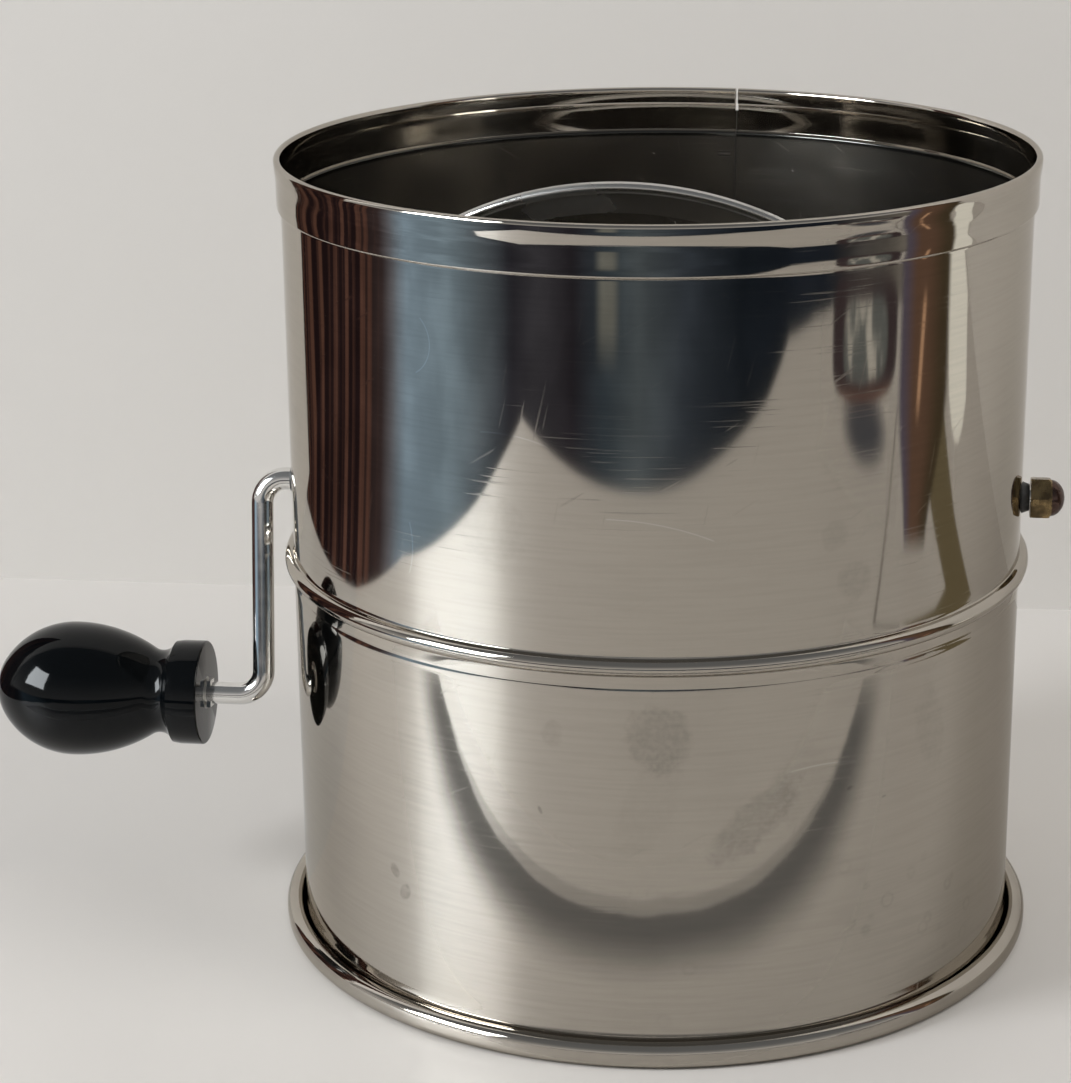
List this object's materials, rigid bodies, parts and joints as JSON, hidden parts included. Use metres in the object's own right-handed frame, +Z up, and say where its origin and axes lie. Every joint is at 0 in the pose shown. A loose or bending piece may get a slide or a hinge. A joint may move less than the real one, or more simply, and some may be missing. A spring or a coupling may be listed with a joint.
{
  "type": "rotary flour sifter",
  "caption": "Open cylindrical sheet-metal flour sifter with a hemispherical wire sieve, a crank-turned agitator and a pear-shaped grip.",
  "frame": {"origin": "the body's vertical axis, on the plane that the foot curl stands on", "axes": "+Z up; the crank's shaft lies along X with the crank on the -X side and the acorn nut on the +X side; -Y is the front"},
  "size_m": [0.2274, 0.1604, 0.1662],
  "materials": {
    "polished_sheet": "mirror-polished stainless sheet with fine scratches and finger marks",
    "sieve_wire": "drawn stainless wire cloth",
    "binding_steel": "rolled stainless strip",
    "bright_rod": "bright polished rod",
    "agitator_strip": "bright formed strip",
    "hub_steel": "turned steel",
    "pin_steel": "plain spring steel",
    "bushing_plastic": "black moulded plastic",
    "aged_brass": "brass gone dark brown",
    "knob_plastic": "glossy black moulded plastic"
  },
  "bodies": {
    "root": {"body_shell": "polished_sheet", "sieve_bowl": "sieve_wire", "sieve_binding_ring": "binding_steel", "bushing_left": "bushing_plastic", "bushing_right": "bushing_plastic"},
    "crank": {"crank_rod": "bright_rod", "hub_left": "hub_steel", "hub_right": "hub_steel", "drive_pin_left": "pin_steel", "drive_pin_right": "pin_steel", "spacer_left": "bushing_plastic", "spacer_right": "bushing_plastic", "acorn_nut": "aged_brass", "knob_push_nut": "pin_steel", "agitator_blade_1": "agitator_strip", "agitator_blade_2": "agitator_strip", "agitator_blade_3": "agitator_strip", "agitator_blade_4": "agitator_strip"},
    "knob_grip": {"knob": "knob_plastic", "knob_liner": "hub_steel"}
  },
  "joints": [
    {"name": "crank_turn", "type": "hinge", "parent": "root", "child": "crank", "pos_m": [0, 0, 0.09446], "axis": [1, 0, 0], "continuous": true},
    {"name": "knob_spin", "type": "hinge", "parent": "crank", "child": "knob_grip", "pos_m": [-0.11, -0.00711, 0.04776], "axis": [1, 0, 0], "continuous": true}
  ]
}
